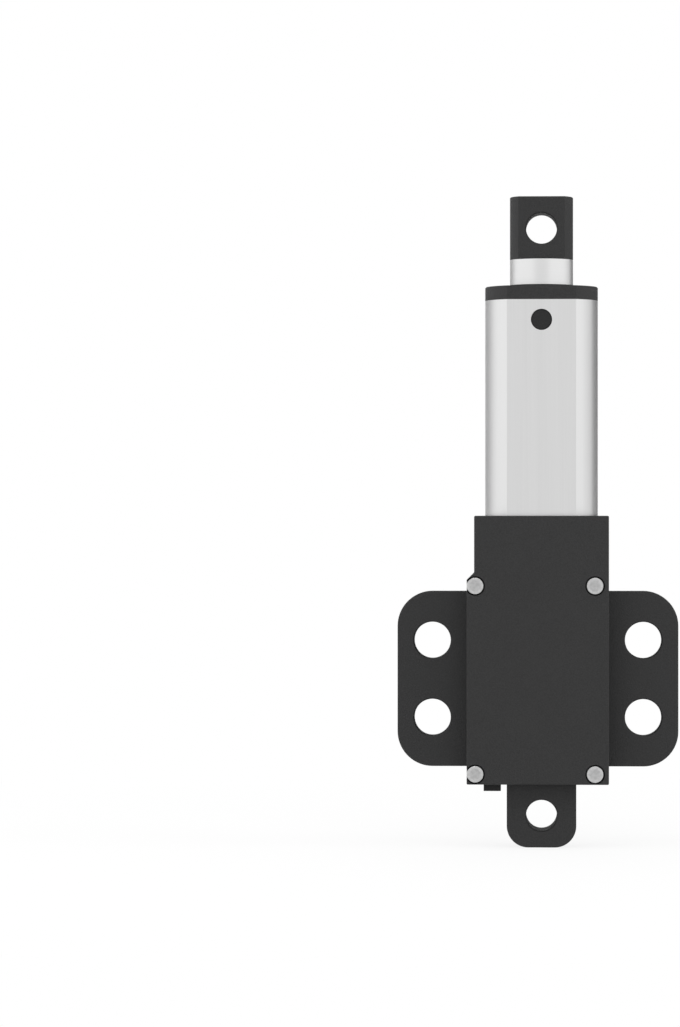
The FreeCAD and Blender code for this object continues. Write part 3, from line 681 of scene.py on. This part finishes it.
class ActuatorSizes(bpy.types.PropertyGroup):
    head: length("Head", "Diameter of a housing screw's head", 2.24 * MM)
    head_height: length("Head height", "Height of a housing screw's head", 1.0 * MM)
    head_round: length("Head round", "Rounding of the head's rim", 0.1 * MM)
    head_dish: length("Head dish", "How far the head's face is dished", 0.05 * MM)
    shank: length("Shank", "Outside diameter of the screws' thread", 1.4 * MM)
    shank_pitch: length("Shank pitch", "Pitch of the screws' thread", 0.55 * MM)
    shank_depth: length("Shank thread", "Depth of the screws' thread", 0.22 * MM)
    spindle: length("Spindle", "Outside diameter of the lead screw", 4.0 * MM)
    spindle_pitch: length("Lead", "How far the nut goes in one turn", 2.0 * MM)
    spindle_depth: length("Spindle thread", "Depth of the lead screw's thread", 0.5 * MM)
    journal: length("Journal", "Diameter of the lead screw in its bearing", 3.0 * MM)
    nose: length("Nose", "Diameter of the lead screw in the output gear", 2.4 * MM)
    groove: length("Groove", "Depth of the groove for the retaining clip", 0.2 * MM)
    edge: length("Edge", "Broken edges on the lead screw and the commutator", 0.1 * MM)
    balls: count("Balls", "Balls in the bearing", 7, 3)
    bar_gap: length("Bar gap", "Gap between the commutator's bars", 0.22 * MM)
    bar_height: length("Bar height", "How far the bars stand out beside the gaps", 0.35 * MM)
    wire: length("Wire", "Diameter of the motor's winding wire", 0.28 * MM)
    first_turn: length("First turn", "From the motor's axis to a coil's innermost turn", 1.66 * MM)
    slot_side: length("Slot side", "From the middle of a slot to the turns in it", 0.3 * MM)
    stagger: length("Stagger", "How far every other turn stands out at the armature's ends", 0.24 * MM)
    turns: count("Turns", "Turns that show round each pole", 7, 2)
    poles: count("Poles", "Poles of the armature", 3, 2)


class ActuatorStudio(bpy.types.PropertyGroup):
    distance: length("Camera distance", "From the camera to the rod's axis", 0.6)
    eye_level: length("Eye level", "Height of the camera above the tail eye's hole", 40.04 * MM)
    lens: bpy.props.FloatProperty(
        name="Lens", description="Focal length in millimetres", default=157.58, unit="CAMERA",
    )
    turn: bpy.props.FloatProperty(
        name="Turn", description="How far the camera looks past the object",
        default=math.radians(2.5665), subtype="ANGLE",
    )
    fill: bpy.props.FloatProperty(
        name="Fill", description="Strength of the even light all round", default=0.64,
    )
    panel: power("Panels", "Power of the wide panels that bright metal shows", 0.8)
    side: power("Side lamps", "Power of the tall soft lamps at both sides", 2.4)
    high: power("High lamp", "Power of the wide soft lamp above the camera", 1.7)
    low: power("Low lamp", "Power of the soft lamp beside the camera", 2.9)
    back: power("Back lamp", "Power of the soft lamp behind the object", 2.4)


class ACTUATOR_OT_stage(bpy.types.Operator):
    """Set up the camera, the pale floor, the soft lamps and the cards that bright metal mirrors."""

    bl_idname = "actuator.stage"
    bl_label = "Studio"

    def execute(self, context):
        scene = context.scene
        studio = scene.actuator_studio
        scene.view_settings.view_transform = "Standard"
        self.camera(scene, studio)
        self.world(scene, studio)
        self.floor()
        for name, place, size, setting, share, mirrored in LAMPS:
            self.lamp(name, place, size, getattr(studio, setting) * share).visible_glossy = mirrored
        for name, side, grey in CARDS:
            self.card(name, side, grey)
        return {"FINISHED"}

    def camera(self, scene, studio):
        camera = bpy.data.cameras.new("camera")
        camera.lens = studio.lens
        camera.sensor_width = SENSOR_WIDTH
        thing = add_object("camera", camera)
        thing.location = (0.0, -studio.distance, studio.eye_level)
        thing.rotation_euler = (math.pi / 2, 0.0, studio.turn)
        scene.camera = thing

    def world(self, scene, studio):
        """White to the camera and in bright metal, and a softer even light on dull surfaces."""
        world = bpy.data.worlds.new("white_room")
        world.use_nodes = True
        scene.world = world
        bench = Bench(world.node_tree)
        ground = world.node_tree.nodes["Background"]
        bench.feed(ground.inputs["Color"], (1.0, 1.0, 1.0, 1.0))
        bench.feed(ground.inputs["Strength"], self.shown(bench) * (1.0 - studio.fill) + studio.fill)

    def shown(self, bench):
        """1 for what the camera, bright metal or a clear piece sees, 0 for what lights dull ones."""
        rays = ("Is Camera Ray", "Is Glossy Ray", "Is Transmission Ray")
        camera, glossy, clear = bench.add("ShaderNodeLightPath", output=rays)
        return bench.clamp(camera + glossy + clear)

    def floor(self):
        low = CAD_BOX[0][2] - FLOOR_GAP
        ways = ((-1, -1), (1, -1), (1, 1), (-1, 1))
        corners = [(x * FLOOR_REACH, y * FLOOR_REACH, low) for x, y in ways]
        material, bench, shader = dull_paper("white_floor", FLOOR_GREY)
        glow = bench.add("ShaderNodeEmission", None, {"Color": (1.0, 1.0, 1.0, 1.0), "Strength": 1.0})
        away = bench.add("ShaderNodeVectorMath", {"operation": "LENGTH"}, {0: bench.place()}, "Value")
        open_floor = bench.add("ShaderNodeMapRange", None, {
            "Value": away, "From Min": GLOW_RISES_FROM, "From Max": GLOW_RISES_TO,
            "To Min": GLOW_BY_OBJECT, "To Max": 1.0,
        })
        mixed = bench.add("ShaderNodeMixShader", None, {
            0: open_floor * self.shown(bench), 1: Wire(bench.tree, shader.outputs[0]), 2: glow,
        })
        bench.feed(bench.tree.nodes["Material Output"].inputs["Surface"], mixed)
        floor = self.sheet("floor", corners, material)

    def sheet(self, name, corners, material):
        """A flat four-cornered piece of the studio."""
        mesh = bpy.data.meshes.new(name)
        mesh.from_pydata(corners, [], [(0, 1, 2, 3)])
        mesh.materials.append(material)
        return add_object(name, mesh)

    def lamp(self, name, place, size, watts):
        lamp = bpy.data.lights.new(name, "AREA")
        lamp.shape = "RECTANGLE"
        lamp.size, lamp.size_y = size
        lamp.energy = watts
        thing = add_object(name, lamp)
        thing.visible_camera = False
        thing.location = place
        thing.rotation_euler = (LAMP_AIM - Vector(place)).to_track_quat("-Z", "Y").to_euler()
        return thing

    def card(self, name, side, grey):
        """A grey card behind the object, which only bright surfaces show."""
        inner = side * CARD_INNER_SHARE
        corners = [
            (side, CARD_NEAR, CARD_LOW), (inner, CARD_FAR, CARD_LOW),
            (inner, CARD_FAR, CARD_HIGH), (side, CARD_NEAR, CARD_HIGH),
        ]
        card = self.sheet(name, corners, dull_paper(name, grey)[0])
        card.visible_camera = False
        card.visible_diffuse = False
        card.visible_transmission = False
        card.visible_shadow = False


class ACTUATOR_OT_mouldings(bpy.types.Operator):
    """Give the shells, the eyes, the cap and its pin their black skin, and the seals their rubber."""

    bl_idname = "actuator.mouldings"
    bl_label = "Mouldings and Seals"

    def execute(self, context):
        colours = context.scene.actuator_colours
        dress(MOULDED, moulded_plastic("moulded_black", colours.plastic, cross_holes()))
        dress(["cap_pin"], moulded_plastic("pin_black", colours.pin))
        dress(RUBBER, soft_rubber("seal_rubber", colours.rubber))
        return {"FINISHED"}


class ACTUATOR_OT_ram(bpy.types.Operator):
    """Give the tube its satin skin and the rod its polish."""

    bl_idname = "actuator.ram"
    bl_label = "Tube and Rod"

    def execute(self, context):
        colours = context.scene.actuator_colours
        dress(["tube"], extruded_aluminium("satin_tube", colours.aluminium))
        dress(["rod"], ground_steel("polished_rod", colours.rod))
        return {"FINISHED"}


class ACTUATOR_OT_screws(bpy.types.Operator):
    """Turn one housing screw and set four of them in the housing's corners."""

    bl_idname = "actuator.screws"
    bl_label = "Housing Screws"

    def execute(self, context):
        colours = context.scene.actuator_colours
        sizes = context.scene.actuator_sizes
        low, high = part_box("housing_screws")
        head_r, shank_r = sizes.head / 2, sizes.shank / 2
        end = high.y - low.y
        tip = end - sizes.shank_depth
        row_step = sizes.shank_pitch / SCREW_ROWS
        blank = [(head_r * out, sizes.head_dish * deep) for out, deep in HEAD_DISH]
        blank += rounded_rim(head_r, sizes.head_round) + [(head_r, sizes.head_height)]
        blank += bar_rows(shank_r, sizes.head_height, tip, row_step)
        blank += [(shank_r - sizes.shank_depth, end), (0.0, end)]
        screws = turned_piece("turned_screws", blank, SCREW_SIDES)
        run_tree(screws, self.tree(), {
            "Across": high.x - low.x - sizes.head,
            "Up": high.z - low.z - sizes.head,
            "Middle": Vector(((low.x + high.x) / 2, low.y, (low.z + high.z) / 2)),
            "Crest Radius": shank_r,
            "Thread Depth": sizes.shank_depth,
            "Pitch": sizes.shank_pitch,
            "Start": sizes.head_height,
            "End": end,
            "Crest Share": SCREW_FLATS,
            "Root Share": SCREW_FLATS,
            "Row Step": row_step,
            "Finish": turned_steel("turned_screw_steel", colours.screw),
        })
        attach(screws, "housing")
        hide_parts("housing_screws")
        return {"FINISHED"}

    def tree(self):
        """Thread the blank it is given, lay it along Y and set one at each corner of a rectangle."""
        tree, bench, given = new_tree("screws_at_corners", {
            "Blank": "Geometry", **THREAD_SIZES, "Across": "Float", "Up": "Float", "Middle": "Vector",
            "Finish": "Material",
        }, "Screws")
        screw = cut_thread(bench, given["Blank"], given)
        x, y, _ = bench.spot()
        on_points = {"data_type": "FLOAT", "domain": "POINT"}
        marked = bench.add("GeometryNodeStoreNamedAttribute", on_points, {
            "Geometry": screw, "Name": "turn", "Value": (x * x + y * y) ** 0.5,
        })
        laid = bench.add("GeometryNodeTransform", None, {
            "Geometry": marked, "Rotation": (-math.pi / 2, 0.0, 0.0),
        })
        corners = bench.add("GeometryNodeMeshGrid", None, {
            "Size X": given["Across"], "Size Y": given["Up"], "Vertices X": 2, "Vertices Y": 2,
        })
        upright = bench.add("GeometryNodeTransform", None, {
            "Geometry": corners, "Rotation": (math.pi / 2, 0.0, 0.0), "Translation": given["Middle"],
        })
        each = bench.add("GeometryNodeInstanceOnPoints", None, {"Points": upright, "Instance": laid})
        bench.hand_out(each, given["Finish"], "Screws")
        return tree


class ACTUATOR_OT_spindle(bpy.types.Operator):
    """Turn the lead screw's foot and cut its thread."""

    bl_idname = "actuator.spindle"
    bl_label = "Lead Screw"

    def execute(self, context):
        colours = context.scene.actuator_colours
        sizes = context.scene.actuator_sizes
        low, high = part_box("lead_screw")
        groove_low, groove_high = (corner.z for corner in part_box("screw_clip"))
        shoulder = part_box("output_gear")[1].z
        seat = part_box("bearing_inner_ring")[1].z
        nose_r, journal_r, thread_r = sizes.nose / 2, sizes.journal / 2, sizes.spindle / 2
        groove_r = journal_r - sizes.groove
        edge = sizes.edge
        row_step = sizes.spindle_pitch / SPINDLE_ROWS
        blank = [
            (0.0, low.z), (nose_r - edge, low.z), (nose_r, low.z + edge), (nose_r, shoulder),
            (journal_r - edge, shoulder), (journal_r, shoulder + edge), (journal_r, groove_low),
            (groove_r, groove_low), (groove_r, groove_high),
            (journal_r, groove_high), (journal_r, seat),
        ]
        blank += bar_rows(thread_r, seat, high.z - edge, row_step)
        blank += [(thread_r - edge, high.z), (0.0, high.z)]
        spindle = turned_piece("threaded_spindle", blank, SPINDLE_SIDES)
        run_tree(spindle, self.tree(), {
            "Crest Radius": thread_r,
            "Thread Depth": sizes.spindle_depth,
            "Pitch": sizes.spindle_pitch,
            "Start": seat,
            "End": high.z,
            "Crest Share": SPINDLE_FLATS,
            "Root Share": SPINDLE_FLATS,
            "Row Step": row_step,
            "Finish": machined_steel("spindle_steel", colours.steel),
        })
        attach(spindle, "screw")
        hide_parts("lead_screw")
        return {"FINISHED"}

    def tree(self):
        """Thread the turned blank it is given."""
        tree, bench, given = new_tree("threaded_spindle", {
            "Blank": "Geometry", **THREAD_SIZES, "Finish": "Material",
        }, "Spindle")
        bench.hand_out(cut_thread(bench, given["Blank"], given), given["Finish"], "Spindle")
        return tree


class ACTUATOR_OT_balls(bpy.types.Operator):
    """Set a ring of ground balls in the lead screw's bearing."""

    bl_idname = "actuator.balls"
    bl_label = "Bearing Balls"

    def execute(self, context):
        colours = context.scene.actuator_colours
        sizes = context.scene.actuator_sizes
        low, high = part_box("bearing_balls")
        radius = (high.z - low.z) / 2
        balls = add_object("ground_balls", bpy.data.meshes.new("ground_balls"))
        run_tree(balls, self.tree(), {
            "Ball Radius": radius,
            "Track Radius": high.x - radius,
            "Middle": Vector((0.0, 0.0, low.z + radius)),
            "Balls": sizes.balls,
            "Finish": ground_steel("ball_steel", colours.steel),
        })
        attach(balls, "ball_set")
        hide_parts("bearing_balls")
        return {"FINISHED"}

    def tree(self):
        """Balls at even steps round a circle, the first of them on the X axis."""
        tree, bench, given = new_tree("balls_in_ring", {
            "Ball Radius": "Float", "Track Radius": "Float", "Middle": "Vector", "Balls": "Int",
            "Finish": "Material",
        }, "Ball Ring")
        track = bench.add("GeometryNodeMeshCircle", None, {
            "Vertices": given["Balls"], "Radius": given["Track Radius"],
        })
        places = bench.add("GeometryNodeTransform", None, {
            "Geometry": track, "Translation": given["Middle"],
        })
        ball = bench.add("GeometryNodeMeshUVSphere", None, {
            "Segments": BALL_SEGMENTS, "Rings": BALL_RINGS, "Radius": given["Ball Radius"],
        })
        smooth = bench.add("GeometryNodeSetShadeSmooth", None, {"Geometry": ball})
        each = bench.add("GeometryNodeInstanceOnPoints", None, {"Points": places, "Instance": smooth})
        bench.hand_out(each, given["Finish"], "Ball Ring")
        return tree


class ACTUATOR_OT_commutator(bpy.types.Operator):
    """Turn the motor's commutator and part its copper into bars."""

    bl_idname = "actuator.commutator"
    bl_label = "Commutator"

    def execute(self, context):
        colours = context.scene.actuator_colours
        sizes = context.scene.actuator_sizes
        low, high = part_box("commutator")
        outer, bore = high.x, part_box("rotor_shaft")[1].x
        blank = [
            (bore, low.z), (outer - sizes.edge, low.z), (outer, low.z + sizes.edge),
            (outer, high.z - sizes.edge), (outer - sizes.edge, high.z), (bore, high.z),
        ]
        commutator = turned_piece("slotted_commutator", blank, COMMUTATOR_SIDES, hollow=True)
        run_tree(commutator, self.tree(), {
            "Outer Radius": outer,
            "Bar Height": sizes.bar_height,
            "Gap Share": sizes.bar_gap * sizes.poles / (math.tau * outer),
            "Bars": sizes.poles,
            "Finish": stamped_metal("commutator_copper", colours.copper, dark=0.6),
        })
        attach(commutator, "rotor")
        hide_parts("commutator")
        return {"FINISHED"}

    def tree(self):
        """Sink gaps into the side of the ring it is given, one in the middle of each pole."""
        tree, bench, given = new_tree("commutator_bars", {
            "Blank": "Geometry", "Outer Radius": "Float", "Bar Height": "Float", "Gap Share": "Float",
            "Bars": "Int", "Finish": "Material",
        }, "Commutator")
        x, y, z = bench.spot()
        turn = bench.maths("ARCTAN2", y, x) / math.tau
        share = bench.maths("FRACT", turn * given["Bars"])
        off_gap = bench.maths("ABSOLUTE", share - 0.5) * 2.0
        in_gap = bench.maths("LESS_THAN", off_gap, given["Gap Share"])
        radius = (x * x + y * y) ** 0.5
        limit = given["Outer Radius"] - given["Bar Height"] * in_gap
        shrink = bench.maths("MINIMUM", radius, limit) / radius
        parted = bench.move(given["Blank"], x * shrink, y * shrink, z)
        bench.hand_out(parted, given["Finish"], "Commutator")
        return tree


class ACTUATOR_OT_coils(bpy.types.Operator):
    """Wind a coil of copper wire round each pole of the motor's armature."""

    bl_idname = "actuator.coils"
    bl_label = "Motor Coils"

    def execute(self, context):
        colours = context.scene.actuator_colours
        sizes = context.scene.actuator_sizes
        last_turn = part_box("armature_windings")[1].x - sizes.wire / 2
        low, high = (corner.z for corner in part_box("armature_core"))
        coils = add_object("wound_coils", bpy.data.meshes.new("wound_coils"))
        run_tree(coils, self.tree(), {
            "Wire Radius": sizes.wire / 2,
            "First Turn": sizes.first_turn,
            "Turn Step": (last_turn - sizes.first_turn) / (sizes.turns - 1),
            "Slot Side": sizes.slot_side,
            "Middle": (low + high) / 2,
            "Half Height": (high - low) / 2 + sizes.wire * LOOP_STAND_OFF,
            "Stagger": sizes.stagger,
            "Turns": sizes.turns,
            "Poles": sizes.poles,
            "Finish": enamelled_wire("enamelled_wire", colours.copper),
        })
        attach(coils, "rotor")
        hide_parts("armature_windings")
        return {"FINISHED"}

    def tree(self):
        """Loops of wire side by side round one pole, every other one taller, and so round each pole."""
        tree, bench, given = new_tree("coils_round_poles", {
            "Wire Radius": "Float", "First Turn": "Float", "Turn Step": "Float", "Slot Side": "Float",
            "Middle": "Float", "Half Height": "Float", "Stagger": "Float", "Turns": "Int",
            "Poles": "Int", "Finish": "Material",
        }, "Coils")
        square = bench.add("GeometryNodeCurvePrimitiveQuadrilateral", None, {
            "Width": 2.0, "Height": 2.0,
        })
        loop = bench.add("GeometryNodeFilletCurve", {"mode": "POLY"}, {
            "Curve": square, "Count": LOOP_CORNER_STEPS, "Radius": LOOP_BEND,
        })
        start = bench.add("ShaderNodeCombineXYZ", None, {"Z": given["First Turn"]})
        step = bench.add("ShaderNodeCombineXYZ", None, {"Z": given["Turn Step"]})
        row = bench.add("GeometryNodeMeshLine", None, {
            "Count": given["Turns"], "Start Location": start, "Offset": step,
        })
        stack = bench.add("GeometryNodeInstanceOnPoints", None, {"Points": row, "Instance": loop})
        loops = bench.add("GeometryNodeRealizeInstances", None, {"Geometry": stack})

        # The loops lie across X and along Y from -1 to 1, and Z is the turn's distance from the axis.
        across, along, reach = bench.spot()
        number = bench.maths("ROUND", (reach - given["First Turn"]) / given["Turn Step"])
        odd = bench.maths("MODULO", number, 2.0)
        half_turn = math.pi / given["Poles"]
        sine = bench.maths("SINE", half_turn)
        cosine = bench.maths("COSINE", half_turn)
        bent = bench.move(
            loops,
            reach * cosine + given["Slot Side"] * sine,
            across * (reach * sine - given["Slot Side"] * cosine),
            given["Middle"] + along * (given["Half Height"] + odd * given["Stagger"]),
        )
        round_wire = bench.add("GeometryNodeCurvePrimitiveCircle", None, {
            "Resolution": WIRE_SIDES, "Radius": given["Wire Radius"],
        })
        coil = bench.add("GeometryNodeCurveToMesh", None, {"Curve": bent, "Profile Curve": round_wire})

        axis = bench.add("GeometryNodeMeshLine", None, {
            "Count": given["Poles"], "Offset": (0.0, 0.0, 0.0),
        })
        pole = bench.add("GeometryNodeInputIndex")
        turn = bench.add("ShaderNodeCombineXYZ", None, {"Z": half_turn * (pole * 2.0 + 1.0)})
        each = bench.add("GeometryNodeInstanceOnPoints", None, {
            "Points": axis, "Instance": coil, "Rotation": turn,
        })
        bench.hand_out(each, given["Finish"], "Coils")
        return tree


class ACTUATOR_OT_inside(bpy.types.Operator):
    """Give the motor, the gears, the bearing and the limit board their finishes."""

    bl_idname = "actuator.inside"
    bl_label = "Inside Pieces"

    def execute(self, context):
        colours = context.scene.actuator_colours
        dress(SLEEVED, lead_sleeve("drawn_sleeve", colours.sleeve))
        dress(ACETAL, natural_acetal("natural_acetal", colours.acetal))
        dress(BRASS, stamped_metal("stamped_brass", colours.brass, dark=0.75))
        dress(["limit_tracks"], stamped_metal("bare_copper", colours.copper, dark=0.6))
        dress(STEEL, machined_steel("tooled_steel", colours.steel))
        dress(["limit_board"], board_laminate("varnished_board", colours.laminate))
        dress(["motor_magnets"], grey_ferrite("grey_ferrite", colours.ferrite))
        dress(["bearing_block"], cast_zinc("die_cast_zinc", colours.zinc))
        return {"FINISHED"}


GROUPS = (ActuatorColours, ActuatorSizes, ActuatorStudio)
STEPS = (
    ACTUATOR_OT_stage, ACTUATOR_OT_mouldings, ACTUATOR_OT_ram, ACTUATOR_OT_screws, ACTUATOR_OT_spindle,
    ACTUATOR_OT_balls, ACTUATOR_OT_commutator, ACTUATOR_OT_coils, ACTUATOR_OT_inside,
)


class ACTUATOR_PT_panel(bpy.types.Panel):
    """The steps, and the sizes and colours that they use."""

    bl_label = "Linear Actuator"
    bl_idname = "ACTUATOR_PT_panel"
    bl_space_type = "VIEW_3D"
    bl_region_type = "UI"
    bl_category = "Actuator"

    def draw(self, context):
        layout = self.layout
        for step in STEPS:
            layout.operator(step.bl_idname)
        scene = context.scene
        for group in (scene.actuator_colours, scene.actuator_sizes, scene.actuator_studio):
            box = layout.box()
            for name in group.__annotations__:
                box.prop(group, name)


CLASSES = GROUPS + STEPS + (ACTUATOR_PT_panel,)


def register():
    for item in CLASSES:
        bpy.utils.register_class(item)
    bpy.types.Scene.actuator_colours = bpy.props.PointerProperty(type=ActuatorColours)
    bpy.types.Scene.actuator_sizes = bpy.props.PointerProperty(type=ActuatorSizes)
    bpy.types.Scene.actuator_studio = bpy.props.PointerProperty(type=ActuatorStudio)


def unregister():
    del bpy.types.Scene.actuator_studio
    del bpy.types.Scene.actuator_sizes
    del bpy.types.Scene.actuator_colours
    for item in reversed(CLASSES):
        bpy.utils.unregister_class(item)


def main():
    register()
    bpy.ops.actuator.stage()
    bpy.ops.actuator.mouldings()
    bpy.ops.actuator.ram()
    bpy.ops.actuator.screws()
    bpy.ops.actuator.spindle()
    bpy.ops.actuator.balls()
    bpy.ops.actuator.commutator()
    bpy.ops.actuator.coils()
    bpy.ops.actuator.inside()


if __name__ == "__main__":
    main()
